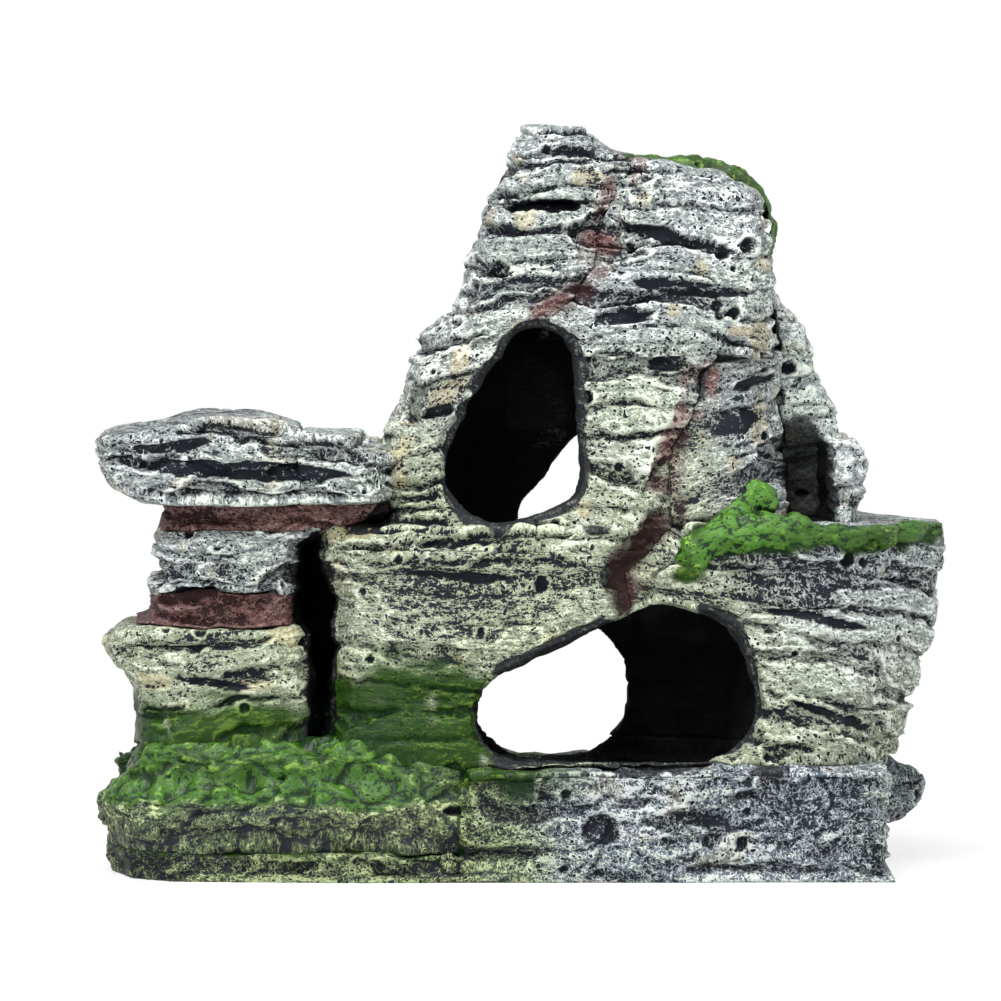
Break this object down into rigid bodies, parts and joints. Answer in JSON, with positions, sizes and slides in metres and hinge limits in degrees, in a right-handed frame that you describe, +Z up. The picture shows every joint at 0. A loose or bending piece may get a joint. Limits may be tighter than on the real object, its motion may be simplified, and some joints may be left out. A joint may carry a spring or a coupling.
{
  "type": "aquarium cave ornament",
  "caption": "Rocky cliff ornament for an aquarium: hollow cave with a low arch and a tall window front and back, a stacked-stone turret at one side, and moss clumps.",
  "frame": {"origin": "on the tank's floor, under the middle of the ornament's bounding box", "axes": "+X to the right along the front, +Y to the back, +Z up"},
  "size_m": [0.1282, 0.0666, 0.11],
  "materials": {
    "slate": "stone-filled resin painted blue-black and dry-brushed with white",
    "sage_rock": "stone-filled resin painted black, then dry-brushed sage green and cream",
    "dark_rock": "stone-filled resin painted black inside, dry-brushed grey outside",
    "cream_rock": "stone-filled resin painted black, then dry-brushed cream and white",
    "pale_rock": "stone-filled resin dry-brushed almost white",
    "red_band": "stone-filled resin painted a dusty red-brown",
    "moss": "raised paint in glossy moss greens with yellow-green edges"
  },
  "bodies": {
    "root": {"base_plinth": "slate", "cave_wall_front": "sage_rock", "right_buttress": "sage_rock", "cave_wall_rear": "dark_rock", "window_stone": "sage_rock", "centre_stone": "sage_rock", "flank_stone": "sage_rock", "peak_wall_rear": "dark_rock", "crown_left": "cream_rock", "crown_right": "cream_rock", "summit_cap": "cream_rock", "rear_boulder": "pale_rock", "rear_pinnacle": "pale_rock", "side_pebble": "slate", "turret_foot": "sage_rock", "turret_lower_band": "red_band", "turret_middle_stone": "cream_rock", "turret_upper_band": "red_band", "turret_cap": "cream_rock", "turret_shoulder": "sage_rock", "moss_bank": "moss", "moss_shelf": "moss", "moss_tip": "moss", "moss_summit": "moss"}
  },
  "joints": []
}
